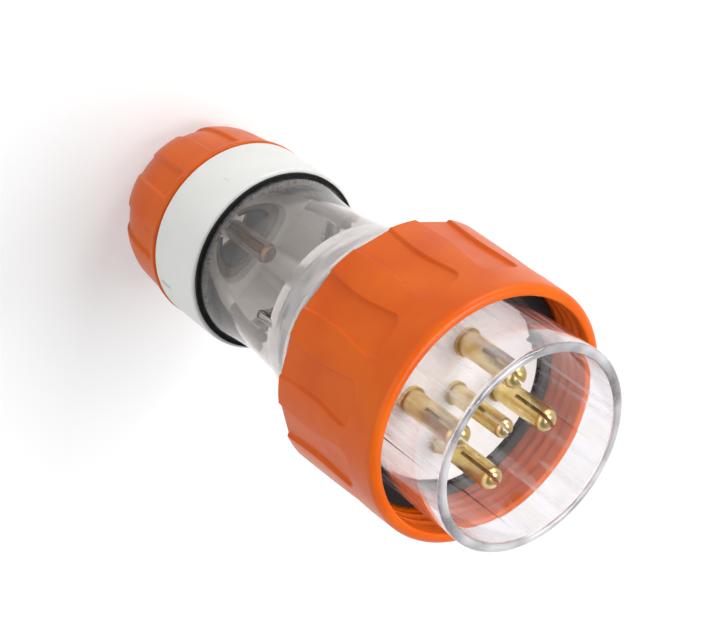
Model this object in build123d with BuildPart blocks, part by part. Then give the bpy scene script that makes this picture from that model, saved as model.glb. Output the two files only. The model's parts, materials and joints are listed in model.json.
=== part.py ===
# Waterproof plug with five round pins, standing on its gland nut with the pins up.
# Millimetres. The plug axis is Z, and Z = 0 is the flat rear face of the gland nut.
import os
from math import cos, radians, sin, tan
from build123d import *

# Clearances
RUNNING_GAP = 0.3
CABLE_CLEARANCE = 0.3

# Gland nut
NUT_LENGTH = 25.2
NUT_BASE_RADIUS = 17.6
NUT_LOW_RADIUS = 22.5
NUT_LOW_HEIGHT = 5.3
NUT_MID_RADIUS = 24.7
NUT_MID_HEIGHT = 12.5
NUT_RIM_RADIUS = 26.2
NUT_FLOOR = 4.5
NUT_EDGE_ROUND = 0.6
CABLE_RADIUS = 10.5
FLUTE_COUNT = 9
FLUTE_ANGLE = 20.0
FLUTE_DEPTH = 0.9
FLUTE_REAR_DEPTH = 0.35
FLUTE_PHASE = 146.0
FLUTE_FRONT_LAND = 1.8

# Gland packing
WASHER_THICKNESS = 1.2
SEAT_WASHER_THICKNESS = 1.4
PACKING_RADIUS = 17.4
GROMMET_BORE_RADIUS = 9.0

# Gland collar
COLLAR_LENGTH = 18.75
COLLAR_STEP_DEPTH = 0.3
COLLAR_TUBE_LENGTH = 14.5
COLLAR_TUBE_WALL = 4.1
COLLAR_FLOOR_THICKNESS = 5.0
COLLAR_BORE_RADIUS = 14.0
COLLAR_EDGE_ROUND = 0.8

# Seal between the collar and the rear cover
COLLAR_SEAL_THICKNESS = 0.8
COLLAR_SEAL_DEPTH = 1.0
COLLAR_SEAL_WIDTH = 2.4

# Screws that hold the collar
COLLAR_SCREW_COUNT = 4
COLLAR_SCREW_PHASE = 56.0
COLLAR_SCREW_RADIUS = 1.25
COLLAR_SCREW_HEAD_RADIUS = 2.1
COLLAR_SCREW_HEAD_HEIGHT = 1.8
COLLAR_SCREW_SLOT_WIDTH = 0.7
COLLAR_SCREW_SLOT_DEPTH = 0.9
COLLAR_SCREW_BITE = 8.0
PILLAR_RADIUS = 2.6
PILLAR_LENGTH = 16.0
PILLAR_ROOT_DEPTH = 0.3

# Rear cover
COVER_LENGTH = 60.45
COVER_WALL = 2.8
COVER_REAR_RADIUS = 24.0
NECK_RADIUS = 22.5
NECK_START = 8.0
NECK_END = 18.0
SHOULDER_RADIUS = 23.7
SHOULDER_HEIGHT = 31.5
SHOULDER_STEP = 0.9
BELL_DEPTH = 4.8
BELL_HEIGHT = 41.0
BELL_FOOT_SLOPE = 0.25
BELL_MOUTH_SLOPE = 1.1
FLANGE_LENGTH = 10.2
SPIGOT_STEP = 1.3
SPIGOT_LENGTH = 3.5
LUG_ANGLE = 178.5
LUG_WIDTH = 2.2
LUG_LENGTH = 8.0
LUG_HEIGHT = 0.4
LUG_THICKNESS = 1.8

# Seal between the rear cover and the front body
COVER_SEAL_THICKNESS = 1.4

# Front body with its shroud
SHROUD_RADIUS = 26.9
SHROUD_WALL = 2.5
SHROUD_LENGTH = 39.3
SHROUD_RIM_ROUND = 1.1
BODY_FLANGE_THICKNESS = 5.6
RELIEF_DEPTH = 0.6
RELIEF_ANGLE = 20.0
RELIEF_RIM_LAND = 3.7

# Face seal at the foot of the shroud
FACE_SEAL_THICKNESS = 6.0
FACE_SEAL_WIDTH = 3.4
FACE_SEAL_CLEARANCE = 0.7

# Pin base
BASE_THICKNESS = 11.0

# Pins
OUTER_PIN_COUNT = 4
PIN_WALL_CLEARANCE = 11.15
PIN_RADIUS = 3.0
NEUTRAL_PIN_RADIUS = 2.5
PIN_LENGTH = 18.9
PIN_COLLAR_STEP = 0.6
PIN_COLLAR_HEIGHT = 0.8
PIN_SHANK_STEP = 0.5
PIN_TIP_ROUND_SHARE = 0.72
PIN_SLOT_WIDTH = 0.9
PIN_SLOT_DEPTH = 11.0
PIN_SLOT_ANGLE = -45.0
PIN_SPIGOT_RADIUS = 2.0
PIN_SPIGOT_LENGTH = 5.0

# Terminals
TERMINAL_RADIUS = 4.5
TERMINAL_LENGTH = 22.0
TERMINAL_WIRE_RADIUS = 2.7
TERMINAL_WIRE_DEPTH = 16.0
TERMINAL_SCREW_RADIUS = 2.0
TERMINAL_SCREW_PITCH = 7.5
TERMINAL_SCREW_FIRST_HEIGHT = 4.5
TERMINAL_SCREW_LENGTH = 4.6
TERMINAL_SCREW_HEAD_RADIUS = 2.9
TERMINAL_SCREW_HEAD_HEIGHT = 1.8
TERMINAL_SCREW_SLOT_WIDTH = 0.9
TERMINAL_SCREW_SLOT_DEPTH = 1.0
NEUTRAL_SCREW_ANGLE = 45.0

# Locking ring
RING_WALL = 2.9
RING_TAPER = 0.9
RING_SKIRT_WALL = 2.5
RING_SKIRT_LENGTH = 8.8
RING_NOSE_LENGTH = 23.7
RING_LIP_ROUND = 1.9
RING_MOUTH_ROUND = 0.6
RING_REAR_ROUND = 0.7
THREAD_DEPTH = 0.7
THREAD_PITCH = 3.2
THREAD_COUNT = 3
THREAD_LEAD_IN = 3.0
RECESS_COUNT = 12
RECESS_PHASE = 25.5
RECESS_DEPTH = 1.2
RECESS_LENGTH = 26.7
RECESS_REAR_HALF_WIDTH = 5.2
RECESS_REAR_SLOPE = 0.12
RECESS_WAIST_HALF_WIDTH = 4.1
RECESS_WAIST_SHARE = 0.45
RECESS_HEAD_HALF_WIDTH = 5.6
RECESS_HEAD_ROUND = 2.4
RECESS_WALL_TAPER = 25.0

# Heights that follow from the sizes above
collar_rear = NUT_LENGTH + RUNNING_GAP
collar_front = collar_rear + COLLAR_LENGTH
collar_floor_front = collar_rear + COLLAR_FLOOR_THICKNESS
cover_rear = collar_front + COLLAR_SEAL_THICKNESS
flange_front = cover_rear + COVER_LENGTH
flange_rear = flange_front - FLANGE_LENGTH
spigot_front = flange_front + SPIGOT_LENGTH
body_rear = spigot_front + COVER_SEAL_THICKNESS
body_flange_front = body_rear + BODY_FLANGE_THICKNESS
base_front = body_rear + BASE_THICKNESS
pin_tip = base_front + PIN_LENGTH
shroud_rim = body_rear + SHROUD_LENGTH
relief_front = shroud_rim - RELIEF_RIM_LAND
shoulder_rear = flange_front + RUNNING_GAP
shoulder_front = body_rear - RUNNING_GAP
ring_rear = shoulder_rear - RING_SKIRT_LENGTH
ring_front = shoulder_front + RING_NOSE_LENGTH
terminal_rear = body_rear - TERMINAL_LENGTH
tube_rear = collar_rear - COLLAR_TUBE_LENGTH
washer_rear = NUT_FLOOR + RUNNING_GAP
grommet_rear = washer_rear + WASHER_THICKNESS + RUNNING_GAP
grommet_front = collar_rear - SEAT_WASHER_THICKNESS

# Radii that follow from the sizes above
tube_radius = PACKING_RADIUS + COLLAR_TUBE_WALL
nut_bore_radius = tube_radius + RUNNING_GAP
packing_bore_radius = PACKING_RADIUS + RUNNING_GAP
collar_radius = NUT_RIM_RADIUS - COLLAR_STEP_DEPTH
collar_seal_radius = collar_radius - COLLAR_SEAL_DEPTH
collar_seal_bore = collar_seal_radius - COLLAR_SEAL_WIDTH
neck_bore_radius = NECK_RADIUS - COVER_WALL
collar_screw_offset = neck_bore_radius - PILLAR_RADIUS + PILLAR_ROOT_DEPTH
shroud_bore_radius = SHROUD_RADIUS - SHROUD_WALL
pin_offset = shroud_bore_radius - PIN_WALL_CLEARANCE
face_seal_radius = SHROUD_RADIUS + FACE_SEAL_WIDTH
ring_bore_radius = face_seal_radius + FACE_SEAL_CLEARANCE
body_flange_radius = ring_bore_radius - RUNNING_GAP
ring_front_radius = ring_bore_radius + RING_WALL
ring_radius = ring_front_radius + RING_TAPER
ring_skirt_bore = ring_radius - RING_SKIRT_WALL
flange_radius = ring_skirt_bore - RUNNING_GAP
bell_radius = flange_radius - BELL_DEPTH
spigot_radius = SHROUD_RADIUS + SPIGOT_STEP
spigot_bore_radius = spigot_radius - COVER_WALL
shoulder_bore = spigot_radius + RUNNING_GAP

os.makedirs("parts", exist_ok=True)

# Cutter for one finger flute of the gland nut, following the dome below its skin and running out at the rear
with BuildPart() as flute_cutter:
    with BuildSketch(Plane.XZ):
        with BuildLine():
            floor = Spline(
                (NUT_BASE_RADIUS - FLUTE_REAR_DEPTH, 0),
                (NUT_LOW_RADIUS - FLUTE_DEPTH, NUT_LOW_HEIGHT),
                (NUT_MID_RADIUS - FLUTE_DEPTH, NUT_MID_HEIGHT),
                (NUT_RIM_RADIUS - FLUTE_DEPTH, NUT_LENGTH - FLUTE_FRONT_LAND),
            )
            Polyline(
                floor @ 1,
                (NUT_RIM_RADIUS + FLUTE_DEPTH, NUT_LENGTH - FLUTE_FRONT_LAND),
                (NUT_RIM_RADIUS + FLUTE_DEPTH, 0),
                floor @ 0,
            )
        make_face()
    revolve(axis=Axis.Z, revolution_arc=FLUTE_ANGLE)

# Domed gland nut
with BuildPart() as gland_nut:
    with BuildSketch(Plane.XZ):
        with BuildLine():
            dome = Spline(
                (NUT_BASE_RADIUS, 0),
                (NUT_LOW_RADIUS, NUT_LOW_HEIGHT),
                (NUT_MID_RADIUS, NUT_MID_HEIGHT),
                (NUT_RIM_RADIUS, NUT_LENGTH),
            )
            Polyline(
                dome @ 1,
                (nut_bore_radius, NUT_LENGTH),
                (nut_bore_radius, tube_rear - RUNNING_GAP),
                (packing_bore_radius, tube_rear - RUNNING_GAP),
                (packing_bore_radius, NUT_FLOOR),
                (CABLE_RADIUS, NUT_FLOOR),
                (CABLE_RADIUS, 0),
                dome @ 0,
            )
        make_face()
    revolve(axis=Axis.Z)
    fillet(gland_nut.edges().filter_by(GeomType.CIRCLE).group_by(SortBy.RADIUS)[-1], radius=NUT_EDGE_ROUND)
    with PolarLocations(0, FLUTE_COUNT, start_angle=FLUTE_PHASE - FLUTE_ANGLE / 2):
        add(flute_cutter.part, mode=Mode.SUBTRACT)
gland_nut.part.label = "gland_nut"
export_step(gland_nut.part, "parts/gland_nut.step")

# Slip washer on which the nut turns
with BuildPart() as slip_washer:
    with BuildSketch(Plane.XY.offset(washer_rear)):
        Circle(PACKING_RADIUS)
        Circle(CABLE_RADIUS + CABLE_CLEARANCE, mode=Mode.SUBTRACT)
    extrude(amount=WASHER_THICKNESS)
slip_washer.part.label = "slip_washer"
export_step(slip_washer.part, "parts/slip_washer.step")

# Rubber packing that grips the cable
with BuildPart() as cable_grommet:
    with BuildSketch(Plane.XY.offset(grommet_rear)):
        Circle(PACKING_RADIUS)
        Circle(GROMMET_BORE_RADIUS, mode=Mode.SUBTRACT)
    extrude(amount=grommet_front - grommet_rear)
cable_grommet.part.label = "cable_grommet"
export_step(cable_grommet.part, "parts/cable_grommet.step")

# Washer between the packing and its seat in the collar
with BuildPart() as seat_washer:
    with BuildSketch(Plane.XY.offset(grommet_front)):
        Circle(PACKING_RADIUS)
        Circle(CABLE_RADIUS + CABLE_CLEARANCE, mode=Mode.SUBTRACT)
    extrude(amount=SEAT_WASHER_THICKNESS)
seat_washer.part.label = "seat_washer"
export_step(seat_washer.part, "parts/seat_washer.step")

# White gland collar: a cup with screw pillars inside, and the tube that the nut screws onto
with BuildPart() as gland_collar:
    with BuildSketch(Plane.XZ):
        with BuildLine():
            Polyline(
                (PACKING_RADIUS, tube_rear),
                (tube_radius, tube_rear),
                (tube_radius, collar_rear),
                (collar_radius, collar_rear),
                (collar_radius, collar_front),
                (neck_bore_radius, collar_front),
                (neck_bore_radius, collar_floor_front),
                (COLLAR_BORE_RADIUS, collar_floor_front),
                (COLLAR_BORE_RADIUS, collar_rear),
                (PACKING_RADIUS, collar_rear),
                close=True,
            )
        make_face()
    revolve(axis=Axis.Z)
    outer_edges = gland_collar.edges().filter_by(GeomType.CIRCLE).group_by(SortBy.RADIUS)[-1]
    fillet(outer_edges, radius=COLLAR_EDGE_ROUND)
    with BuildSketch(Plane.XY.offset(collar_floor_front)):
        with PolarLocations(collar_screw_offset, COLLAR_SCREW_COUNT, start_angle=COLLAR_SCREW_PHASE):
            Circle(PILLAR_RADIUS)
    extrude(amount=collar_front - collar_floor_front)
    with BuildSketch(Plane.XY.offset(collar_front)):
        with PolarLocations(collar_screw_offset, COLLAR_SCREW_COUNT, start_angle=COLLAR_SCREW_PHASE):
            Circle(COLLAR_SCREW_RADIUS)
    extrude(amount=-COLLAR_SCREW_BITE, mode=Mode.SUBTRACT)
gland_collar.part.label = "gland_collar"
export_step(gland_collar.part, "parts/gland_collar.step")

# Black seal between the collar and the rear cover
with BuildPart() as collar_seal:
    with BuildSketch(Plane.XY.offset(collar_front)):
        Circle(collar_seal_radius)
        Circle(collar_seal_bore, mode=Mode.SUBTRACT)
    extrude(amount=COLLAR_SEAL_THICKNESS)
collar_seal.part.label = "collar_seal"
export_step(collar_seal.part, "parts/collar_seal.step")

# Slotted brass screws that draw the collar onto the cover
with BuildPart() as collar_screws:
    with BuildSketch(Plane.XY.offset(collar_front - COLLAR_SCREW_BITE)):
        with PolarLocations(collar_screw_offset, COLLAR_SCREW_COUNT, start_angle=COLLAR_SCREW_PHASE):
            Circle(COLLAR_SCREW_RADIUS)
    extrude(amount=COLLAR_SCREW_BITE + PILLAR_LENGTH)
    with BuildSketch(Plane.XY.offset(collar_front + PILLAR_LENGTH)):
        with PolarLocations(collar_screw_offset, COLLAR_SCREW_COUNT, start_angle=COLLAR_SCREW_PHASE):
            Circle(COLLAR_SCREW_HEAD_RADIUS)
    extrude(amount=COLLAR_SCREW_HEAD_HEIGHT)
    with BuildSketch(Plane.XY.offset(collar_front + PILLAR_LENGTH + COLLAR_SCREW_HEAD_HEIGHT)):
        with PolarLocations(collar_screw_offset, COLLAR_SCREW_COUNT, start_angle=COLLAR_SCREW_PHASE):
            Rectangle(COLLAR_SCREW_SLOT_WIDTH, 2 * COLLAR_SCREW_HEAD_RADIUS)
    extrude(amount=-COLLAR_SCREW_SLOT_DEPTH, mode=Mode.SUBTRACT)
collar_screws.part.label = "collar_screws"
export_step(collar_screws.part, "parts/collar_screws.step")

# Clear bell-shaped rear cover with its stepped shoulder, index lug, screw pillars and a lip inside the seal
with BuildPart() as rear_cover:
    with BuildSketch(Plane.XZ):
        with BuildLine():
            neck = Spline(
                (COVER_REAR_RADIUS, cover_rear),
                (NECK_RADIUS, cover_rear + NECK_START),
                (NECK_RADIUS, cover_rear + NECK_END),
                (SHOULDER_RADIUS, cover_rear + SHOULDER_HEIGHT),
            )
            step = Line(neck @ 1, neck @ 1 + Vector(SHOULDER_STEP, SHOULDER_STEP))
            bell = Spline(
                step @ 1,
                (bell_radius, cover_rear + BELL_HEIGHT),
                (flange_radius, flange_rear),
                tangents=[(BELL_FOOT_SLOPE, 1.0), (BELL_MOUTH_SLOPE, 1.0)],
            )
            inside = Spline(
                (neck_bore_radius, cover_rear + SHOULDER_HEIGHT),
                (bell_radius - COVER_WALL, cover_rear + BELL_HEIGHT + COVER_WALL),
                (spigot_bore_radius, flange_rear + COVER_WALL),
                tangents=[(0.0, 1.0), (0.0, 1.0)],
            )
            Polyline(
                bell @ 1,
                (flange_radius, flange_front),
                (spigot_radius, flange_front),
                (spigot_radius, spigot_front),
                (spigot_bore_radius, spigot_front),
                inside @ 1,
            )
            Polyline(
                inside @ 0,
                (neck_bore_radius, collar_front),
                (collar_seal_bore, collar_front),
                (collar_seal_bore, cover_rear),
                neck @ 0,
            )
        make_face()
    revolve(axis=Axis.Z)
    with BuildSketch(Plane.XY.offset(collar_front)):
        with PolarLocations(collar_screw_offset, COLLAR_SCREW_COUNT, start_angle=COLLAR_SCREW_PHASE):
            Circle(PILLAR_RADIUS)
    extrude(amount=PILLAR_LENGTH)
    with BuildSketch(Plane.XY.offset(collar_front)):
        with PolarLocations(collar_screw_offset, COLLAR_SCREW_COUNT, start_angle=COLLAR_SCREW_PHASE):
            Circle(COLLAR_SCREW_RADIUS)
    extrude(amount=PILLAR_LENGTH, mode=Mode.SUBTRACT)
    with BuildSketch(Plane.XY.offset(cover_rear + SHOULDER_HEIGHT + LUG_LENGTH / 2)):
        with PolarLocations(SHOULDER_RADIUS + LUG_HEIGHT, 1, start_angle=LUG_ANGLE):
            RectangleRounded(LUG_THICKNESS, LUG_WIDTH, LUG_WIDTH / 4)
    extrude(amount=-LUG_LENGTH)
rear_cover.part.label = "rear_cover"
export_step(rear_cover.part, "parts/rear_cover.step")

# Seal between the cover spigot and the front body
with BuildPart() as cover_seal:
    with BuildSketch(Plane.XY.offset(spigot_front)):
        Circle(spigot_radius)
        Circle(spigot_bore_radius, mode=Mode.SUBTRACT)
    extrude(amount=COVER_SEAL_THICKNESS)
cover_seal.part.label = "cover_seal"
export_step(cover_seal.part, "parts/cover_seal.step")

# Cutter for one relief in the bore of the shroud, fading out towards the rim
with BuildPart() as relief_cutter:
    with BuildSketch(Plane.XZ):
        with BuildLine():
            Polyline(
                (shroud_bore_radius - RELIEF_DEPTH, base_front),
                (shroud_bore_radius + RELIEF_DEPTH, base_front),
                (shroud_bore_radius, relief_front),
                (shroud_bore_radius - RELIEF_DEPTH, relief_front),
                close=True,
            )
        make_face()
    revolve(axis=Axis.Z, revolution_arc=RELIEF_ANGLE)

# Clear front body: mounting flange and the shroud round the pins
with BuildPart() as shroud_body:
    with BuildSketch(Plane.XZ):
        with BuildLine():
            Polyline(
                (shroud_bore_radius, body_rear),
                (body_flange_radius, body_rear),
                (body_flange_radius, body_flange_front),
                (SHROUD_RADIUS, body_flange_front),
                (SHROUD_RADIUS, shroud_rim),
                (shroud_bore_radius, shroud_rim),
                close=True,
            )
        make_face()
    revolve(axis=Axis.Z)
    fillet(shroud_body.edges().group_by(Axis.Z)[-1], radius=SHROUD_RIM_ROUND)
    with PolarLocations(0, OUTER_PIN_COUNT, start_angle=-RELIEF_ANGLE / 2):
        add(relief_cutter.part, mode=Mode.SUBTRACT)
shroud_body.part.label = "shroud_body"
export_step(shroud_body.part, "parts/shroud_body.step")

# Black face seal at the foot of the shroud
with BuildPart() as face_seal:
    with BuildSketch(Plane.XY.offset(body_flange_front)):
        Circle(face_seal_radius)
        Circle(SHROUD_RADIUS, mode=Mode.SUBTRACT)
    extrude(amount=FACE_SEAL_THICKNESS)
face_seal.part.label = "face_seal"
export_step(face_seal.part, "parts/face_seal.step")

# White base that carries the pins
with BuildPart() as pin_base:
    with BuildSketch(Plane.XY.offset(body_rear)):
        Circle(shroud_bore_radius)
    extrude(amount=BASE_THICKNESS)
    with BuildSketch(Plane.XY.offset(body_rear)):
        with PolarLocations(pin_offset, OUTER_PIN_COUNT):
            Circle(PIN_RADIUS - PIN_SHANK_STEP)
        Circle(NEUTRAL_PIN_RADIUS - PIN_SHANK_STEP)
    extrude(amount=BASE_THICKNESS, mode=Mode.SUBTRACT)
pin_base.part.label = "pin_base"
export_step(pin_base.part, "parts/pin_base.step")

# Pins and their terminals: name, distance from the axis, direction, pin radius, direction of the screws
STATIONS = (
    ("phase_1", pin_offset, 0.0, PIN_RADIUS, 0.0),
    ("phase_2", pin_offset, 90.0, PIN_RADIUS, 90.0),
    ("phase_3", pin_offset, 180.0, PIN_RADIUS, 180.0),
    ("earth", pin_offset, 270.0, PIN_RADIUS, 270.0),
    ("neutral", 0.0, 0.0, NEUTRAL_PIN_RADIUS, NEUTRAL_SCREW_ANGLE),
)
screw_planes = []
for name, distance, direction, radius, screw_direction in STATIONS:
    x = distance * cos(radians(direction))
    y = distance * sin(radians(direction))

    # Slotted brass pin with a domed tip, a collar on the base, and a shank and spigot into its terminal
    with BuildPart() as pin:
        with BuildSketch(Plane.XY.offset(base_front)):
            with Locations((x, y)):
                Circle(radius)
        extrude(amount=pin_tip - base_front)
        fillet(pin.edges().group_by(Axis.Z)[-1], radius=radius * PIN_TIP_ROUND_SHARE)
        with BuildSketch(Plane.XY.offset(pin_tip)):
            with Locations((x, y)):
                Rectangle(3 * radius, PIN_SLOT_WIDTH, rotation=PIN_SLOT_ANGLE)
        extrude(amount=-PIN_SLOT_DEPTH, mode=Mode.SUBTRACT)
        with BuildSketch(Plane.XY.offset(base_front)):
            with Locations((x, y)):
                Circle(radius + PIN_COLLAR_STEP)
        extrude(amount=PIN_COLLAR_HEIGHT)
        with BuildSketch(Plane.XY.offset(base_front)):
            with Locations((x, y)):
                Circle(radius - PIN_SHANK_STEP)
        extrude(amount=-BASE_THICKNESS)
        with BuildSketch(Plane.XY.offset(body_rear)):
            with Locations((x, y)):
                Circle(PIN_SPIGOT_RADIUS)
        extrude(amount=-PIN_SPIGOT_LENGTH)
    pin.part.label = name + "_pin"
    export_step(pin.part, "parts/" + name + "_pin.step")

    # Brass terminal with a tunnel for the wire and two screw holes
    screw_plane = Plane(
        origin=(x, y, terminal_rear + TERMINAL_SCREW_FIRST_HEIGHT),
        x_dir=(-sin(radians(screw_direction)), cos(radians(screw_direction)), 0),
        z_dir=(cos(radians(screw_direction)), sin(radians(screw_direction)), 0),
    )
    screw_planes.append(screw_plane)
    with BuildPart() as terminal:
        with BuildSketch(Plane.XY.offset(terminal_rear)):
            with Locations((x, y)):
                Circle(TERMINAL_RADIUS)
        extrude(amount=TERMINAL_LENGTH)
        with BuildSketch(Plane.XY.offset(terminal_rear)):
            with Locations((x, y)):
                Circle(TERMINAL_WIRE_RADIUS)
        extrude(amount=TERMINAL_WIRE_DEPTH, mode=Mode.SUBTRACT)
        with BuildSketch(Plane.XY.offset(body_rear)):
            with Locations((x, y)):
                Circle(PIN_SPIGOT_RADIUS)
        extrude(amount=-PIN_SPIGOT_LENGTH, mode=Mode.SUBTRACT)
        with BuildSketch(screw_plane):
            with Locations((0, 0), (0, TERMINAL_SCREW_PITCH)):
                Circle(TERMINAL_SCREW_RADIUS)
        extrude(amount=TERMINAL_RADIUS, mode=Mode.SUBTRACT)
    terminal.part.label = name + "_terminal"
    export_step(terminal.part, "parts/" + name + "_terminal.step")

# Two slotted clamp screws in every terminal
with BuildPart() as terminal_screws:
    for screw_plane in screw_planes:
        with BuildSketch(screw_plane.offset(TERMINAL_RADIUS - TERMINAL_SCREW_LENGTH / 2)):
            with Locations((0, 0), (0, TERMINAL_SCREW_PITCH)):
                Circle(TERMINAL_SCREW_RADIUS)
        extrude(amount=TERMINAL_SCREW_LENGTH / 2)
        with BuildSketch(screw_plane.offset(TERMINAL_RADIUS)):
            with Locations((0, 0), (0, TERMINAL_SCREW_PITCH)):
                Circle(TERMINAL_SCREW_HEAD_RADIUS)
        extrude(amount=TERMINAL_SCREW_HEAD_HEIGHT)
        with BuildSketch(screw_plane.offset(TERMINAL_RADIUS + TERMINAL_SCREW_HEAD_HEIGHT)):
            with Locations((0, 0), (0, TERMINAL_SCREW_PITCH)):
                Rectangle(TERMINAL_SCREW_SLOT_WIDTH, 2 * TERMINAL_SCREW_HEAD_RADIUS)
        extrude(amount=-TERMINAL_SCREW_SLOT_DEPTH, mode=Mode.SUBTRACT)
terminal_screws.part.label = "terminal_screws"
export_step(terminal_screws.part, "parts/terminal_screws.step")

# Plane of the recess floors, tilted with the taper of the ring
ring_length = ring_front - ring_rear
recess_plane = Plane(
    origin=(ring_radius - RECESS_DEPTH, 0, ring_rear),
    x_dir=(0, 1, 0),
    z_dir=(ring_length, 0, ring_radius - ring_front_radius),
)

# Cutter for one finger recess of the locking ring: a waisted tongue, open at the rear, with sloping walls
with BuildPart() as recess_cutter:
    for rise in (0.0, 2 * RECESS_DEPTH):
        spread = rise * tan(radians(RECESS_WALL_TAPER))
        with BuildSketch(recess_plane.offset(rise)) as tongue:
            with BuildLine():
                side = Spline(
                    (-RECESS_REAR_HALF_WIDTH - spread, -RECESS_DEPTH),
                    (-RECESS_WAIST_HALF_WIDTH - spread, RECESS_WAIST_SHARE * RECESS_LENGTH),
                    (-RECESS_HEAD_HALF_WIDTH - spread, RECESS_LENGTH + spread),
                    tangents=[(RECESS_REAR_SLOPE, 1.0), (0.0, 1.0)],
                )
                mirror(side, about=Plane.YZ)
                Line(side @ 1, (RECESS_HEAD_HALF_WIDTH + spread, RECESS_LENGTH + spread))
                Line(side @ 0, (RECESS_REAR_HALF_WIDTH + spread, -RECESS_DEPTH))
            make_face()
            fillet(tongue.vertices().group_by(Axis.Y)[-1], radius=RECESS_HEAD_ROUND + spread)
    loft(ruled=True)

# Orange locking ring with finger recesses outside and thread grooves inside
thread_points = []
for turn in range(THREAD_COUNT):
    groove = ring_front - THREAD_LEAD_IN - turn * THREAD_PITCH
    thread_points += [
        (ring_bore_radius, groove),
        (ring_bore_radius + THREAD_DEPTH, groove - THREAD_PITCH / 4),
        (ring_bore_radius + THREAD_DEPTH, groove - THREAD_PITCH / 2),
        (ring_bore_radius, groove - 3 * THREAD_PITCH / 4),
    ]
with BuildPart() as locking_ring:
    with BuildSketch(Plane.XZ):
        with BuildLine():
            Polyline(
                (ring_skirt_bore, ring_rear),
                (ring_radius, ring_rear),
                (ring_front_radius, ring_front),
                (ring_bore_radius, ring_front),
                *thread_points,
                (ring_bore_radius, shoulder_front),
                (shoulder_bore, shoulder_front),
                (shoulder_bore, shoulder_rear),
                (ring_skirt_bore, shoulder_rear),
                close=True,
            )
        make_face()
    revolve(axis=Axis.Z)
    front_edges = locking_ring.edges().group_by(Axis.Z)[-1].sort_by(SortBy.RADIUS)
    fillet(front_edges[-1], radius=RING_LIP_ROUND)
    fillet(locking_ring.edges().group_by(Axis.Z)[-1].sort_by(SortBy.RADIUS)[0], radius=RING_MOUTH_ROUND)
    fillet(locking_ring.edges().group_by(Axis.Z)[0].sort_by(SortBy.RADIUS)[-1], radius=RING_REAR_ROUND)
    with PolarLocations(0, RECESS_COUNT, start_angle=RECESS_PHASE):
        add(recess_cutter.part, mode=Mode.SUBTRACT)
locking_ring.part.label = "locking_ring"
export_step(locking_ring.part, "parts/locking_ring.step")
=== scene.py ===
# Waterproof plug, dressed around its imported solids. Metres, in the same frame as the solids.
import json
from math import cos, hypot, pi, radians, sin, tan

import bpy
import numpy as np
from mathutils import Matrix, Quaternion, Vector


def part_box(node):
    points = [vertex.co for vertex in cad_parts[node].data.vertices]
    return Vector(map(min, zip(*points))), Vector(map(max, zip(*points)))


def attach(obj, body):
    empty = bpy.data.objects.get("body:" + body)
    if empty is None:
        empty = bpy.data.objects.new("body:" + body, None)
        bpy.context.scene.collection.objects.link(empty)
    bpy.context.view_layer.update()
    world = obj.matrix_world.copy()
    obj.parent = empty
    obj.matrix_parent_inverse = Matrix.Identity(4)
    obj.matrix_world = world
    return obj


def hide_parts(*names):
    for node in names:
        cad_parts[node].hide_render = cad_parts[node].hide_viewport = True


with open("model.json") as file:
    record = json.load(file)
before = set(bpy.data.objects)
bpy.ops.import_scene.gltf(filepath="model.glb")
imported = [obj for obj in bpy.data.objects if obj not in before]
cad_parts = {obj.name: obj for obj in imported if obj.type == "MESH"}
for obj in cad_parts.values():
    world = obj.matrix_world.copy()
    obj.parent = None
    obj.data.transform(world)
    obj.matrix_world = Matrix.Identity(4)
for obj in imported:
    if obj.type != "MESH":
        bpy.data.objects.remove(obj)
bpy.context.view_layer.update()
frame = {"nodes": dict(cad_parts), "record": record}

MM = 0.001
nodes = frame["nodes"]
scene = bpy.context.scene


def rear_of(node):
    """Height of a solid's rear end in millimetres."""
    return round(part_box(node)[0].z / MM, 3)


def front_of(node):
    """Height of a solid's front end in millimetres."""
    return round(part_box(node)[1].z / MM, 3)


# Sizes in millimetres and angles in degrees, the same as the solids
# Locking ring
RING_REAR = rear_of("locking_ring")
RING_FRONT = front_of("locking_ring")
RING_RADIUS = 34.8
RING_FRONT_RADIUS = 33.9
RING_BORE = 31.0
RING_SKIRT_BORE = 32.3
RING_SHOULDER_BORE = 28.5
RING_SHOULDER_REAR = 105.8
RING_SHOULDER_FRONT = 110.1
RING_LIP_ROUND = 1.9
RING_MOUTH_ROUND = 0.6
RING_REAR_ROUND = 0.7
RECESS_COUNT = 12
RECESS_PHASE = 25.5
RECESS_DEPTH = 1.2
RECESS_LENGTH = 26.7
RECESS_REAR_HALF_WIDTH = 5.2
RECESS_REAR_SLOPE = -0.12
RECESS_WAIST_HALF_WIDTH = 4.1
RECESS_WAIST = 12.0
RECESS_HEAD_HALF_WIDTH = 5.6
RECESS_HEAD_ROUND = 2.4
RECESS_WALL_TAPER = 25.0
RECESS_EDGE_ROUND = 0.2
THREAD_DEPTH = 0.7
THREAD_PITCH = 3.2
THREAD_LEAD_IN = 2.6
THREAD_FRONT = RING_FRONT - THREAD_LEAD_IN
THREAD_REAR = front_of("face_seal")

# Gland nut
NUT_LENGTH = front_of("gland_nut")
# Radius and height of the four points that shape the dome, rear to front
NUT_DOME = np.array(((17.6, 0.0), (22.5, 5.3), (24.7, 12.5), (26.2, NUT_LENGTH)))
NUT_EDGE_ROUND = 0.6
NUT_BORE = 21.8
NUT_BORE_REAR = 10.7
NUT_PACKING_BORE = 17.7
NUT_FLOOR = 4.5
NUT_CABLE_RADIUS = 10.5
FLUTE_COUNT = 9
FLUTE_HALF_ANGLE = 10.0
FLUTE_PHASE = 146.0
FLUTE_DEPTH = 0.9
FLUTE_REAR_DEPTH = 0.35
FLUTE_REAR_RUN = 5.3
FLUTE_FRONT_LAND = 1.8
FLUTE_WALL_WIDTH = 1.0

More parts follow.
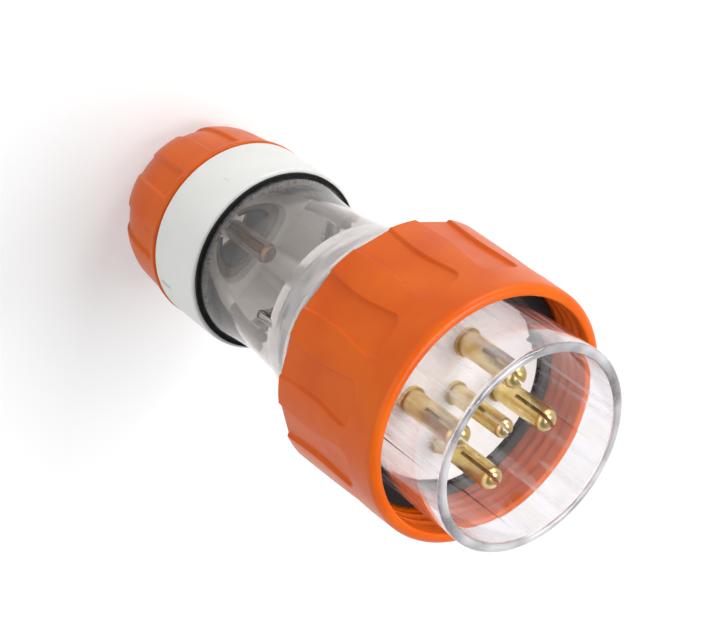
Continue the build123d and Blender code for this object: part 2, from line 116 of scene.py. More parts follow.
# Gland collar
COLLAR_TUBE_REAR = rear_of("gland_collar")
COLLAR_REAR = front_of("seat_washer")
COLLAR_FRONT = front_of("gland_collar")
COLLAR_RADIUS = 25.9
COLLAR_EDGE_ROUND = 0.8
COLLAR_TUBE_RADIUS = 21.5
COLLAR_PACKING_BORE = 17.4
COLLAR_BORE = 14.0
COLLAR_FLOOR = 5.0
COLLAR_WALL_BORE = 19.7
PILLAR_COUNT = 4
PILLAR_PHASE = 56.0
PILLAR_OFFSET = 17.4
PILLAR_RADIUS = 2.6
GLAND_PITCH = 3.0
GLAND_THREAD_DEPTH = 0.8
# Two short moulded nicks in the collar: direction, height of the middle, length, width, depth
COLLAR_NICKS = ((-154.5, 30.0, 4.6, 1.5, 1.2), (126.0, 37.0, 3.0, 0.5, 0.15))
NICK_WALL_WIDTH = 0.2

# Flanks of both threads: 1 draws a smooth wave, more draws flat crests and roots
THREAD_STEEPNESS = 1.6

# Rear cover: the step at the foot of its bell, and the run over which the bell turns hazy
BELL_STEP = 76.55
BELL_HAZE_DEPTH = 1.0

# Shroud: its front, and the run over which the rim turns hazy
SHROUD_RIM = front_of("shroud_body")
RIM_HAZE_DEPTH = 1.3

# Fineness of the turned skins: steps and the fine run behind a recess's head in millimetres
PLAIN_STEP = 1.0
FINE_STEP = 0.22
THREAD_STEP = 0.32
RECESS_HEAD_RUN = 3.6
# Counts of points along a section, and of columns round the axis
ROUND_POINTS = 8
DOME_POINTS = 70
RECESS_FLOOR_COLUMNS = 12
RECESS_WALL_COLUMNS = 9
RECESS_LAND_COLUMNS = 6
FLUTE_PLAIN_COLUMNS = 8
FLUTE_WALL_COLUMNS = 12
COLLAR_COLUMNS = 240
NICK_COLUMNS = 13
PILLAR_COLUMNS = 19
# A skin is shaded sharp where its faces meet at more than this angle
SHARP_ANGLE = 40.0

# Patterns of the finishes in millimetres: spacing, and depth where they are relief
PIGMENT_CLOUD = 14.0
GLOSS_PATCH = 5.0
TOOL_GRAIN = 0.5
FLOW_RIPPLE = 9.0
FLOW_RIPPLE_DEPTH = 0.05
HANDLING_HAZE = 3.0
DRAG_MARK = 2.5
FEED_RING = 0.35
FEED_RING_DEPTH = 0.004
TARNISH_PATCH = 4.0
PAPER_FLECK = 2.0
# Drag marks are drawn out along the axis: share of the pattern's scale that is left there
DRAG_STRETCH = 0.04
# Phase of Blender's wave bands over one unit of length at scale 1
WAVE_PHASE = 20.0
# Noise gathers round 0.5: the stretch of it over which a pattern goes from none to full
WIDE_SPREAD = (0.3, 0.7)
NARROW_SPREAD = (0.35, 0.65)
HAZE_SPREAD = (0.35, 0.75)
STREAK_SPREAD = (0.55, 0.7)
# Refractive indices, and the roughness of a clear moulded wall from its best patches to its worst
ABS_IOR = 1.53
NITRILE_IOR = 1.52
NYLON_IOR = 1.53
POLYCARBONATE_IOR = 1.585
CLEAR_ROUGHNESS = (0.015, 0.06)


# Node trees
def colour(code):
    """Linear colour of an sRGB hex code."""
    parts = [int(code[i:i + 2], 16) / 255 for i in (1, 3, 5)]
    linear = [p / 12.92 if p <= 0.04045 else ((p + 0.055) / 1.055) ** 2.4 for p in parts]
    return (*linear, 1.0)


def add(tree, kind, sockets=None, stops=(), **settings):
    """Add one node, set its options and its ramp's stops, and fill its sockets with values or links."""
    made = tree.nodes.new(kind)
    for key, value in settings.items():
        setattr(made, key, value)
    for index, (share, code) in enumerate(stops):
        ramp = made.color_ramp.elements
        stop = ramp[index] if index < len(ramp) else ramp.new(share)
        stop.position = share
        stop.color = colour(code)
    for key, value in (sockets or {}).items():
        if isinstance(value, bpy.types.NodeSocket):
            tree.links.new(value, made.inputs[key])
        else:
            made.inputs[key].default_value = value
    return made


def new_material(name):
    """An empty material, its tree and the coordinates of the part's own frame in metres."""
    made = bpy.data.materials.new(name)
    made.use_nodes = True
    made.node_tree.nodes.clear()
    place = add(made.node_tree, "ShaderNodeTexCoord").outputs["Object"]
    return made, made.node_tree, place


def moulded_plastic(name, deep, pale, rough, grain_depth, edge_round, ior, mirror=0.5):
    """Opaque moulded plastic: cloudy pigment, a sheen that varies, a fine tool grain and soft edges."""
    made, tree, place = new_material(name)
    # Pigment drifts in clouds, where the melt flowed
    cloud = add(tree, "ShaderNodeTexNoise", {
        "Vector": place, "Scale": 1 / (PIGMENT_CLOUD * MM), "Detail": 3.0,
    })
    blend = add(tree, "ShaderNodeValToRGB", {"Fac": cloud.outputs["Fac"]}, zip(WIDE_SPREAD, (deep, pale)))
    # Handling and the tool leave patches a little more or less glossy
    patch = add(tree, "ShaderNodeTexNoise", {
        "Vector": place, "Scale": 1 / (GLOSS_PATCH * MM), "Detail": 4.0,
    })
    gloss = add(tree, "ShaderNodeMapRange", {
        "Value": patch.outputs["Fac"], "From Min": WIDE_SPREAD[0], "From Max": WIDE_SPREAD[1],
        "To Min": rough[0], "To Max": rough[1],
    })
    # Spark-eroded tool grain, coarser than the real 0.1 mm so that it shows
    grain = add(tree, "ShaderNodeTexNoise", {
        "Vector": place, "Scale": 1 / (TOOL_GRAIN * MM), "Detail": 2.0,
    })
    edge = add(tree, "ShaderNodeBevel", {"Radius": edge_round * MM}, samples=4)
    relief = add(tree, "ShaderNodeBump", {
        "Height": grain.outputs["Fac"], "Strength": 1.0, "Distance": grain_depth * MM,
        "Normal": edge.outputs["Normal"],
    })
    shader = add(tree, "ShaderNodeBsdfPrincipled", {
        "Base Color": blend.outputs["Color"], "Roughness": gloss.outputs["Result"], "IOR": ior,
        "Specular IOR Level": mirror, "Normal": relief.outputs["Normal"],
    })
    add(tree, "ShaderNodeOutputMaterial", {"Surface": shader.outputs["BSDF"]})
    return made


def clear_plastic(name, tint, smoke, density, clear, hazy, haze_start, haze_full):
    """Clear moulded plastic: ripples, milky streaks, a cast that deepens with thickness, one hazy end."""
    made, tree, place = new_material(name)
    # Flow ripples bend what is seen through the wall a little
    ripple = add(tree, "ShaderNodeTexNoise", {
        "Vector": place, "Scale": 1 / (FLOW_RIPPLE * MM), "Detail": 1.0,
    })
    relief = add(tree, "ShaderNodeBump", {
        "Height": ripple.outputs["Fac"], "Strength": 1.0, "Distance": FLOW_RIPPLE_DEPTH * MM,
    })
    # Fine haze in patches, as on a moulded wall that has been handled
    haze = add(tree, "ShaderNodeTexNoise", {
        "Vector": place, "Scale": 1 / (HANDLING_HAZE * MM), "Detail": 5.0,
    })
    gloss = add(tree, "ShaderNodeMapRange", {
        "Value": haze.outputs["Fac"], "From Min": HAZE_SPREAD[0], "From Max": HAZE_SPREAD[1],
        "To Min": CLEAR_ROUGHNESS[0], "To Max": CLEAR_ROUGHNESS[1],
    })
    # Drag marks of the mould's core run along the axis as milky streaks
    drawn_out = add(tree, "ShaderNodeMapping", {"Vector": place, "Scale": (1.0, 1.0, DRAG_STRETCH)})
    drag = add(tree, "ShaderNodeTexNoise", {
        "Vector": drawn_out.outputs["Vector"], "Scale": 1 / (DRAG_MARK * MM), "Detail": 2.0,
    })
    milky = add(tree, "ShaderNodeMapRange", {
        "Value": drag.outputs["Fac"], "From Min": STREAK_SPREAD[0], "From Max": STREAK_SPREAD[1],
        "To Min": clear[1], "To Max": clear[0],
    })
    # One end, a rubbed rim or a thick bell, scatters light in patches instead of letting it through
    rubbed = add(tree, "ShaderNodeMapRange", {
        "Value": ripple.outputs["Fac"], "From Min": NARROW_SPREAD[0], "From Max": NARROW_SPREAD[1],
        "To Min": hazy[0], "To Max": hazy[1],
    })
    height = add(tree, "ShaderNodeSeparateXYZ", {"Vector": place})
    worn = add(tree, "ShaderNodeMapRange", {
        "Value": height.outputs["Z"], "From Min": haze_start * MM, "From Max": haze_full * MM,
        "To Min": milky.outputs["Result"], "To Max": rubbed.outputs["Result"],
    })
    shader = add(tree, "ShaderNodeBsdfPrincipled", {
        "Base Color": colour(tint), "Roughness": gloss.outputs["Result"], "IOR": POLYCARBONATE_IOR,
        "Transmission Weight": worn.outputs["Result"], "Normal": relief.outputs["Normal"],
    })
    inside = add(tree, "ShaderNodeVolumeAbsorption", {"Color": colour(smoke), "Density": density})
    # A clear wall casts hardly any shadow, so the lamps reach what lies behind it
    path = add(tree, "ShaderNodeLightPath")
    bare = add(tree, "ShaderNodeBsdfTransparent", {"Color": colour(tint)})
    wall = add(tree, "ShaderNodeMixShader", {
        0: path.outputs["Is Shadow Ray"], 1: shader.outputs["BSDF"], 2: bare.outputs["BSDF"],
    })
    add(tree, "ShaderNodeOutputMaterial", {
        "Surface": wall.outputs["Shader"], "Volume": inside.outputs["Volume"],
    })
    return made


def turned_brass(name, deep, pale, rough):
    """Bar-turned brass: fine tool rings along the axis and a warm tarnish in patches."""
    made, tree, place = new_material(name)
    # Feed rings of the lathe, coarser than the real 0.1 mm so that they show
    rings = add(tree, "ShaderNodeTexWave", {
        "Vector": place, "Scale": 2 * pi / (WAVE_PHASE * FEED_RING * MM), "Distortion": 0.6, "Detail": 1.0,
    }, wave_type="BANDS", bands_direction="Z")
    relief = add(tree, "ShaderNodeBump", {
        "Height": rings.outputs["Fac"], "Strength": 1.0, "Distance": FEED_RING_DEPTH * MM,
    })
    # Tarnish drifts in patches, the deeper the duller
    stain = add(tree, "ShaderNodeTexNoise", {
        "Vector": place, "Scale": 1 / (TARNISH_PATCH * MM), "Detail": 4.0,
    })
    blend = add(tree, "ShaderNodeValToRGB", {"Fac": stain.outputs["Fac"]}, zip(NARROW_SPREAD, (deep, pale)))
    gloss = add(tree, "ShaderNodeMapRange", {
        "Value": stain.outputs["Fac"], "From Min": WIDE_SPREAD[0], "From Max": WIDE_SPREAD[1],
        "To Min": rough[1], "To Max": rough[0],
    })
    shader = add(tree, "ShaderNodeBsdfPrincipled", {
        "Base Color": blend.outputs["Color"], "Metallic": 1.0, "Roughness": gloss.outputs["Result"],
        "Normal": relief.outputs["Normal"],
    })
    add(tree, "ShaderNodeOutputMaterial", {"Surface": shader.outputs["BSDF"]})
    return made


# ABS, moulded and pigmented orange: a semi-gloss skin over a saturated ground
orange_abs = moulded_plastic(
    "abs_moulded_orange", deep="#D65606", pale="#E1640B",
    rough=(0.29, 0.38), grain_depth=0.006, edge_round=0.2, ior=ABS_IOR, mirror=0.2,
)
# ABS, moulded white: bright, slightly warm and softly glossy
white_abs = moulded_plastic(
    "abs_moulded_white", deep="#E6E6E2", pale="#EDEDE9",
    rough=(0.32, 0.42), grain_depth=0.010, edge_round=0.3, ior=ABS_IOR,
)
# Nitrile rubber, moulded black: dull and dark, with hardly any mirror
nitrile = moulded_plastic(
    "nitrile_moulded_black", deep="#131313", pale="#1E1E1D",
    rough=(0.55, 0.72), grain_depth=0.03, edge_round=0.15, ior=NITRILE_IOR, mirror=0.2,
)
# Nylon, moulded olive grey: waxy and dull
nylon = moulded_plastic(
    "nylon_moulded_olive_grey", deep="#776B52", pale="#857960",
    rough=(0.42, 0.52), grain_depth=0.015, edge_round=0.15, ior=NYLON_IOR,
)
# Polycarbonate, moulded clear: the shroud, seen as edges, streaks and a rim that plugging-in has rubbed
clear_shroud = clear_plastic(
    "polycarbonate_moulded_clear", tint="#F4F1F4", smoke="#CFCCD6", density=4.0,
    clear=(0.7, 0.99), hazy=(0.35, 0.75),
    haze_start=SHROUD_RIM - RIM_HAZE_DEPTH, haze_full=SHROUD_RIM,
)
# Polycarbonate, moulded clear: the thicker rear cover, with a warm grey cast and a cloudy bell
clear_cover = clear_plastic(
    "polycarbonate_moulded_clear_cover", tint="#F2F0EE", smoke="#AE938A", density=75.0,
    clear=(0.93, 0.98), hazy=(0.58, 0.8),
    haze_start=BELL_STEP, haze_full=BELL_STEP + BELL_HAZE_DEPTH,
)
# Brass, turned and burnished: bright and pale, for the pins
pin_brass = turned_brass("brass_turned_bright", deep="#D6B873", pale="#EBD7A0", rough=(0.26, 0.38))
# Brass, turned and left as cut: browner and duller, for the terminals and screws
terminal_brass = turned_brass("brass_turned_as_cut", deep="#9C6E12", pale="#B98A2A", rough=(0.28, 0.4))

FINISHES = {
    "orange_plastic": orange_abs,
    "white_plastic": white_abs,
    "black_rubber": nitrile,
    "grey_nylon": nylon,
    "pin_brass": pin_brass,
    "terminal_brass": terminal_brass,
    "clear_plastic": clear_shroud,
}
SLOTS = {part["node"]: part["material_slot"] for part in frame["record"]["subparts"]}
for node, slot in SLOTS.items():
    nodes[node].data.materials[0] = FINISHES[slot]
nodes["rear_cover"].data.materials[0] = clear_cover


# Turned pieces
def arc(centre, radius, start):
    """Points of a quarter round in the plane of radius and height, ends included."""
    turns = np.radians(np.linspace(start, start + 90, ROUND_POINTS))
    return [(centre[0] + radius * cos(t), centre[1] + radius * sin(t)) for t in turns]


def run(first, last, step):
    """Points from the first to just before the last, about a step apart."""
    count = max(1, int(round(hypot(last[0] - first[0], last[1] - first[1]) / step)))
    shares = np.linspace(0, 1, count, endpoint=False)
    return [(first[0] + s * (last[0] - first[0]), first[1] + s * (last[1] - first[1])) for s in shares]


def grids(section, turns):
    """Radius, height and angle of every point: rows go round the section, columns round the axis."""
    turn = np.repeat(turns[None, :], len(section), axis=0)
    height = np.repeat(section[:, 1:], len(turns), axis=1)
    radius = np.repeat(section[:, :1], len(turns), axis=1)
    return radius, height, turn


def turned_skin(node, body, radius, height, turn):
    """One closed skin from grids of radius, height and angle, in place of a solid."""
    name = node + "_skin"
    rows, columns = radius.shape
    points = np.stack([radius * np.cos(turn), radius * np.sin(turn), height], axis=-1) * MM
    index = np.arange(rows * columns).reshape(rows, columns)
    above = np.roll(index, -1, axis=0)
    quads = np.stack([index, np.roll(index, -1, axis=1), np.roll(above, -1, axis=1), above], axis=-1)
    mesh = bpy.data.meshes.new(name)
    mesh.from_pydata(points.reshape(-1, 3).tolist(), [], quads.reshape(-1, 4).tolist())
    mesh.polygons.foreach_set("use_smooth", [True] * len(mesh.polygons))
    mesh.set_sharp_from_angle(angle=radians(SHARP_ANGLE))
    mesh.materials.append(FINISHES[SLOTS[node]])
    made = bpy.data.objects.new(name, mesh)
    scene.collection.objects.link(made)
    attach(made, body)
    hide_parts(node)


def ease(share):
    """Way from none to full with a soft start and a soft end."""
    return share**2 * (3 - 2 * share)


def soft_min(a, b, room):
    """The lesser of two heights, with the corner between them rounded over that room."""
    share = np.clip(0.5 + 0.5 * (b - a) / room, 0, 1)
    return b + (a - b) * share - room * share * (1 - share)


def helix(turn, height, pitch, low, high):
    """Depth share of a thread groove: full in its middle, none at the crest, fading at both ends."""
    wave = 0.5 - 0.5 * np.cos(2 * pi * (height / pitch - turn / (2 * pi)))
    ends = np.clip((height - low) / (pitch / 2), 0, 1) * np.clip((high - height) / (pitch / 2), 0, 1)
    return np.clip(0.5 + THREAD_STEEPNESS * (wave - 0.5), 0, 1) * ends


def ring_surface(height):
    """Radius of the ring's tapered outside before the recesses are cut."""
    return RING_RADIUS + (RING_FRONT_RADIUS - RING_RADIUS) * (height - RING_REAR) / (RING_FRONT - RING_REAR)


def recess_half_width(along):
    """Half width of a finger recess at a distance from the ring's rear edge: wide, waisted, wide."""
    rear = np.clip((along + RECESS_DEPTH) / (RECESS_WAIST + RECESS_DEPTH), 0, 1)
    front = np.clip((along - RECESS_WAIST) / (RECESS_LENGTH - RECESS_WAIST), 0, 1)
    fall = (1 - ease(rear)) * (RECESS_REAR_HALF_WIDTH - RECESS_WAIST_HALF_WIDTH)
    lean = rear * (1 - rear)**2 * (RECESS_WAIST + RECESS_DEPTH) * RECESS_REAR_SLOPE
    rise = ease(front) * (RECESS_HEAD_HALF_WIDTH - RECESS_WAIST_HALF_WIDTH)
    return RECESS_WAIST_HALF_WIDTH + fall + lean + rise


def ring_outside():
    """Section of the ring's outside, rear to front, finely stepped where the recesses end."""
    head = RING_REAR + RECESS_LENGTH
    lip = RING_FRONT - RING_LIP_ROUND
    rear = RING_REAR + RING_REAR_ROUND
    stops = (rear + PLAIN_STEP, head - RECESS_HEAD_RUN, head + RECESS_HEAD_ROUND, lip)
    points = arc((RING_RADIUS - RING_REAR_ROUND, rear), RING_REAR_ROUND, -90)
    for low, high, step in zip(stops, stops[1:], (PLAIN_STEP, FINE_STEP, PLAIN_STEP)):
        points += run((ring_surface(low), low), (ring_surface(high), high), step)
    return points + arc((ring_surface(lip) - RING_LIP_ROUND, lip), RING_LIP_ROUND, 0)


def ring_inside():
    """Section of the ring's inside, from the mouth over the thread and the shoulder to the skirt."""
    bore_front = RING_FRONT - RING_MOUTH_ROUND
    points = arc((RING_BORE + RING_MOUTH_ROUND, bore_front), RING_MOUTH_ROUND, 90)
    points += run((RING_BORE, bore_front - THREAD_STEP), (RING_BORE, THREAD_REAR), THREAD_STEP)
    points += [(RING_BORE, THREAD_REAR), (RING_BORE, RING_SHOULDER_FRONT)]
    points += [(RING_SHOULDER_BORE, RING_SHOULDER_FRONT), (RING_SHOULDER_BORE, RING_SHOULDER_REAR)]
    return points + [(RING_SKIRT_BORE, RING_SHOULDER_REAR), (RING_SKIRT_BORE, RING_REAR)]


def recess_sector(half, surface):
    """Angles of one recess and its land in every row; the columns gather at the waisted walls."""
    middle = pi / RECESS_COUNT
    wall_width = RECESS_DEPTH * tan(radians(RECESS_WALL_TAPER))
    wall_steps = np.linspace(-RECESS_EDGE_ROUND, wall_width + 2 * RECESS_EDGE_ROUND, RECESS_WALL_COLUMNS)
    wall = (half[:, None] + wall_steps[None, :]) / surface[:, None]
    floor = wall[:, :1] * np.linspace(0, 1, RECESS_FLOOR_COLUMNS, endpoint=False)[None, :]
    land = wall[:, -1:] + (middle - wall[:, -1:]) * np.linspace(0, 1, RECESS_LAND_COLUMNS + 1)[None, 1:]
    right = np.concatenate([floor, wall, land], axis=1)
    return np.concatenate([-right[:, -2:0:-1], right], axis=1)


def recess_cut(along, across, half, surface):
    """Radius left by a finger recess: its flat floor, sloping walls and rounded head, with soft edges."""
    sideways = np.abs(surface * np.sin(across))
    past_side = sideways - (RECESS_HEAD_HALF_WIDTH - RECESS_HEAD_ROUND)
    past_head = along - (RECESS_LENGTH - RECESS_HEAD_ROUND)
    corner = np.hypot(np.maximum(past_side, 0), np.maximum(past_head, 0)) - RECESS_HEAD_ROUND
    beyond_head = np.maximum(corner, past_head - RECESS_HEAD_ROUND)
    outside_by = np.where(past_head > 0, beyond_head, sideways - half)
    floor = (surface - RECESS_DEPTH) / np.cos(across)
    wall = floor + outside_by / tan(radians(RECESS_WALL_TAPER))
    recess = -soft_min(-floor, -wall, RECESS_EDGE_ROUND)
    return soft_min(recess, surface + 0 * across, RECESS_EDGE_ROUND)


def make_ring():
    """Locking ring with softened finger recesses outside and a running thread inside."""
    outside = ring_outside()
    section = np.array(outside + ring_inside())
    heights = section[:, 1]
    surface = ring_surface(heights)
    half = recess_half_width(heights - RING_REAR)
    sector = recess_sector(half, surface)
    centres = radians(RECESS_PHASE) + 2 * pi / RECESS_COUNT * np.arange(RECESS_COUNT)
    turn = np.concatenate([sector + centre for centre in centres], axis=1)
    across = np.tile(sector, RECESS_COUNT)
    radius, height, _ = grids(section, turn[0])
    cut = recess_cut(height - RING_REAR, across, half[:, None], surface[:, None])
    outside_rows = (np.arange(len(section)) < len(outside))[:, None]
    radius = np.where(outside_rows, np.minimum(radius, cut), radius)
    bore_rows = section[:, :1] == RING_BORE
    groove = helix(turn, height, THREAD_PITCH, THREAD_REAR, THREAD_FRONT)
    radius = np.where(bore_rows, radius + THREAD_DEPTH * groove, radius)
    turned_skin("locking_ring", "ring", radius, height, turn)


def pillar_face(turn):
    """Bore of the collar's cup round its axis: the plain wall, or the near face of a screw pillar."""
    spread = 2 * pi / PILLAR_COUNT
    aside = (turn - radians(PILLAR_PHASE) + spread / 2) % spread - spread / 2
    reach = PILLAR_RADIUS**2 - (PILLAR_OFFSET * np.sin(aside))**2
    near = PILLAR_OFFSET * np.cos(aside) - np.sqrt(np.maximum(reach, 0))
    return np.where(reach > 0, near, COLLAR_WALL_BORE)


def collar_columns():
    """Angles round the collar, closer together at the nicks and the pillars."""
    turns = list(np.linspace(-180, 180, COLLAR_COLUMNS, endpoint=False))
    for direction, _, _, width, _ in COLLAR_NICKS:
        reach = np.degrees(width / COLLAR_RADIUS)
        turns += list(direction + np.linspace(-reach, reach, NICK_COLUMNS))
    reach = np.degrees(np.arcsin(PILLAR_RADIUS / PILLAR_OFFSET))
    for index in range(PILLAR_COUNT):
        turns += list(PILLAR_PHASE + 360 / PILLAR_COUNT * index + np.linspace(-reach, reach, PILLAR_COLUMNS))
    turns = (np.array(turns) + 180) % 360 - 180
    return np.radians(np.unique(np.round(turns, 4)))


def collar_section():
    """Section of the collar: the tube, the cup's outside, then back down the inside."""
    edge = COLLAR_EDGE_ROUND
    wall_rear = COLLAR_REAR + edge
    wall_front = COLLAR_FRONT - edge
    floor_front = COLLAR_REAR + COLLAR_FLOOR
    points = run((COLLAR_TUBE_RADIUS, COLLAR_TUBE_REAR), (COLLAR_TUBE_RADIUS, COLLAR_REAR), THREAD_STEP)
    points += [(COLLAR_TUBE_RADIUS, COLLAR_REAR)]
    points += arc((COLLAR_RADIUS - edge, wall_rear), edge, -90)
    points += run((COLLAR_RADIUS, wall_rear + FINE_STEP), (COLLAR_RADIUS, wall_front), FINE_STEP)
    points += arc((COLLAR_RADIUS - edge, wall_front), edge, 0)
    points += [(COLLAR_WALL_BORE, COLLAR_FRONT), (COLLAR_WALL_BORE, floor_front)]
    points += [(COLLAR_BORE, floor_front), (COLLAR_BORE, COLLAR_REAR)]
    return points + [(COLLAR_PACKING_BORE, COLLAR_REAR), (COLLAR_PACKING_BORE, COLLAR_TUBE_REAR)]


def make_collar():
    """Gland collar: a cup with screw pillars, two moulded nicks and the thread for the gland nut."""
    section = np.array(collar_section())
    radius, height, turn = grids(section, collar_columns())
    groove = helix(turn, height, GLAND_PITCH, COLLAR_TUBE_REAR, COLLAR_REAR)
    radius = np.where(section[:, :1] == COLLAR_TUBE_RADIUS, radius - GLAND_THREAD_DEPTH * groove, radius)
    radius = np.where(section[:, :1] == COLLAR_WALL_BORE, pillar_face(turn), radius)
    for direction, middle, length, width, depth in COLLAR_NICKS:
        sideways = np.abs(turn - radians(direction)) * COLLAR_RADIUS
        beyond = np.maximum(np.abs(height - middle) - (length - width) / 2, 0)
        inside_by = np.clip((width / 2 - np.hypot(sideways, beyond)) / NICK_WALL_WIDTH, 0, 1)
        radius = np.where(section[:, :1] == COLLAR_RADIUS, radius - depth * inside_by, radius)
    turned_skin("gland_collar", "plug_body", radius, height, turn)


def nut_outside():
    """Section of the nut's dome, rear to front: the cubic through its four points, then the rounded edge."""
    spans = np.hypot(*np.diff(NUT_DOME, axis=0).T)
    along = np.concatenate([[0], np.cumsum(spans)])
    dome_radius, dome_height = [np.polyfit(along, column, 3) for column in NUT_DOME.T]
    steps = np.linspace(0, along[-1], DOME_POINTS)
    points = [(np.polyval(dome_radius, s), np.polyval(dome_height, s)) for s in steps]
    points = [point for point in points if point[1] < NUT_LENGTH - NUT_EDGE_ROUND]
    return points + arc((points[-1][0] - NUT_EDGE_ROUND, NUT_LENGTH - NUT_EDGE_ROUND), NUT_EDGE_ROUND, 0)


def flute_sector():
    """Angles of one flute and its land; the columns gather at the flute's walls."""
    half_pitch = pi / FLUTE_COUNT
    brink = radians(FLUTE_HALF_ANGLE)
    foot = brink - FLUTE_WALL_WIDTH / NUT_DOME[0, 0]
    stops = (-half_pitch, -brink, -foot, foot, brink, half_pitch)
    counts = (FLUTE_PLAIN_COLUMNS, FLUTE_WALL_COLUMNS) * 2 + (FLUTE_PLAIN_COLUMNS,)
    return np.concatenate([
        np.linspace(first, last, count, endpoint=False)
        for first, last, count in zip(stops, stops[1:], counts)
    ])


def make_nut():
    """Gland nut: a dome with broad finger flutes whose walls are drawn soft."""
    outside = nut_outside()
    inside = [(NUT_BORE, NUT_LENGTH), (NUT_BORE, NUT_BORE_REAR), (NUT_PACKING_BORE, NUT_BORE_REAR)]
    inside += [(NUT_PACKING_BORE, NUT_FLOOR), (NUT_CABLE_RADIUS, NUT_FLOOR), (NUT_CABLE_RADIUS, 0)]
    section = np.array(outside + inside)
    sector = flute_sector()
    across = np.tile(sector, FLUTE_COUNT)
    centres = radians(FLUTE_PHASE) + 2 * pi / FLUTE_COUNT * np.arange(FLUTE_COUNT)
    radius, height, turn = grids(section, np.repeat(centres, len(sector)) + across)
    beside = (radians(FLUTE_HALF_ANGLE) - np.abs(across))[None, :] * radius
    before = NUT_LENGTH - FLUTE_FRONT_LAND - height
    wall = np.clip(np.minimum(beside, before) / FLUTE_WALL_WIDTH, 0, 1)
    depth = FLUTE_REAR_DEPTH + (FLUTE_DEPTH - FLUTE_REAR_DEPTH) * np.clip(height / FLUTE_REAR_RUN, 0, 1)
    outside_rows = (np.arange(len(section)) < len(outside))[:, None]
    radius = np.where(outside_rows, radius - depth * ease(wall), radius)
    turned_skin("gland_nut", "nut", radius, height, turn)


make_ring()
make_collar()
make_nut()


# Stage, in metres
# Paper floor: its size, greys from fleck to fleck, its own light to the eye, and where it fades to white
FLOOR_RADIUS = 3.0
FLOOR_SIDES = 96
PAPER_GREYS = ((0.0, "#C6C6C6"), (1.0, "#CCCCCC"))
FLOOR_GLOW = 0.42
FLOOR_FADE_START = 0.4
FLOOR_FADE_END = 1.4
# White walls that darken towards the ceiling: share of the way up, grey level
ROOM_GREYS = ((0.0, "#FFFFFF"), (0.30, "#E4E6E8"), (0.62, "#7C7E82"), (1.0, "#55575B"))
# Softboxes, aimed at the plug's middle: place, side, power in watts
PLUG_MIDDLE = Vector((0, 0, 0.08))
SOFTBOXES = {
    "key_softbox": ((0.25, 0.98, 0.55), 0.5, 5.0),
    "fill_softbox": ((-1.05, 0.10, 0.50), 0.8, 2.8),
    "top_softbox": ((0.25, 0.10, 1.15), 0.6, 10.0),
}
# Camera at the photograph's viewing angle: image and focal length in pixels, sensor in millimetres
IMAGE_WIDTH = 702
FOCAL_PIXELS = 2001.64
SENSOR = 36.0
CAMERA_PLACE = Vector((-0.30008, 0.20092, 0.42686))
CAMERA_AIM = Vector((0.00057, 0.00085, 0.07713))
CAMERA_ROLL = radians(126.27)


def white_paper():
    """Matt paper sweep: white to the eye and through glass, and it keeps the plug's soft shadow."""
    made, tree, place = new_material("paper_sweep_white")
    # Paper fibre in flecks
    fibre = add(tree, "ShaderNodeTexNoise", {
        "Vector": place, "Scale": 1 / (PAPER_FLECK * MM), "Detail": 3.0,
    })
    shade = add(tree, "ShaderNodeValToRGB", {"Fac": fibre.outputs["Fac"]}, PAPER_GREYS)
    paper = add(tree, "ShaderNodeBsdfDiffuse", {"Color": shade.outputs["Color"]})
    glow = add(tree, "ShaderNodeEmission", {"Color": colour("#FFFFFF"), "Strength": FLOOR_GLOW})
    lit = add(tree, "ShaderNodeAddShader", {0: paper.outputs["BSDF"], 1: glow.outputs["Emission"]})
    # Far from the plug it fades to the white of the walls, so that no edge shows
    away = add(tree, "ShaderNodeVectorMath", {0: place}, operation="LENGTH")
    fade = add(tree, "ShaderNodeMapRange", {
        "Value": away.outputs["Value"], "From Min": FLOOR_FADE_START, "From Max": FLOOR_FADE_END,
    }, interpolation_type="SMOOTHSTEP")
    white = add(tree, "ShaderNodeEmission", {"Color": colour("#FFFFFF"), "Strength": 1.0})
    sweep = add(tree, "ShaderNodeMixShader", {
        0: fade.outputs["Result"], 1: lit.outputs["Shader"], 2: white.outputs["Emission"],
    })
    path = add(tree, "ShaderNodeLightPath")
    seen = path.outputs["Is Camera Ray"]
    for other in ("Is Glossy Ray", "Is Transmission Ray"):
        seen = add(tree, "ShaderNodeMath", {0: seen, 1: path.outputs[other]}, operation="MAXIMUM").outputs[0]
    either = add(tree, "ShaderNodeMixShader", {0: seen, 1: paper.outputs["BSDF"], 2: sweep.outputs["Shader"]})
    add(tree, "ShaderNodeOutputMaterial", {"Surface": either.outputs["Shader"]})
    return made


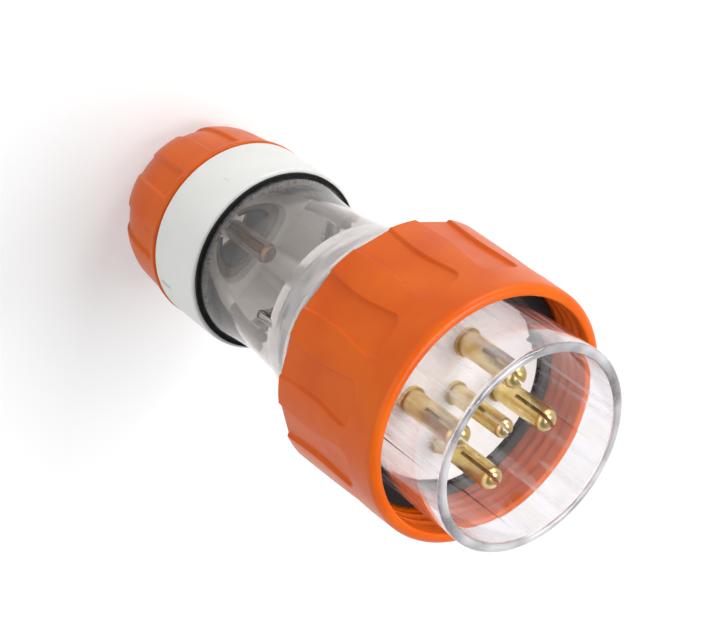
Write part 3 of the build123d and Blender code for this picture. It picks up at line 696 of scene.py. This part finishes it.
def lay_floor():
    """Round paper floor under the plug."""
    corners = 2 * pi / FLOOR_SIDES * np.arange(FLOOR_SIDES)
    floor_edge = [(FLOOR_RADIUS * cos(t), FLOOR_RADIUS * sin(t), 0) for t in corners]
    floor_mesh = bpy.data.meshes.new("studio_floor")
    floor_mesh.from_pydata(floor_edge, [], [range(FLOOR_SIDES)])
    floor_mesh.materials.append(white_paper())
    studio_floor = bpy.data.objects.new("studio_floor", floor_mesh)
    scene.collection.objects.link(studio_floor)


def paint_room():
    """World: the walls and the ceiling that the plug mirrors and is lit by."""
    world = bpy.data.worlds.new("studio")
    scene.world = world
    world.use_nodes = True
    tree = world.node_tree
    tree.nodes.clear()
    skyward = add(tree, "ShaderNodeTexCoord")
    rise = add(tree, "ShaderNodeSeparateXYZ", {"Vector": skyward.outputs["Generated"]})
    walls = add(tree, "ShaderNodeValToRGB", {"Fac": rise.outputs["Z"]}, ROOM_GREYS)
    room = add(tree, "ShaderNodeBackground", {"Color": walls.outputs["Color"], "Strength": 1.0})
    add(tree, "ShaderNodeOutputWorld", {"Surface": room.outputs["Background"]})


def hang_softboxes():
    """Square studio lamps that face the plug."""
    for name, (place, side, power) in SOFTBOXES.items():
        lamp = bpy.data.lights.new(name, "AREA")
        lamp.energy = power
        lamp.size = side
        box = bpy.data.objects.new(name, lamp)
        box.location = place
        box.rotation_mode = "QUATERNION"
        box.rotation_quaternion = (PLUG_MIDDLE - Vector(place)).to_track_quat("-Z", "Y")
        scene.collection.objects.link(box)


def aim_camera():
    """Camera that takes the photograph's view."""
    lens = bpy.data.cameras.new("photo_camera")
    lens.sensor_width = SENSOR
    lens.lens = FOCAL_PIXELS * SENSOR / IMAGE_WIDTH
    camera = bpy.data.objects.new("photo_camera", lens)
    camera.location = CAMERA_PLACE
    camera.rotation_mode = "QUATERNION"
    upright = (CAMERA_AIM - CAMERA_PLACE).to_track_quat("-Z", "Y")
    camera.rotation_quaternion = upright @ Quaternion((0, 0, 1), CAMERA_ROLL)
    scene.collection.objects.link(camera)
    scene.camera = camera


lay_floor()
paint_room()
hang_softboxes()
aim_camera()
scene.view_settings.view_transform = "Standard"
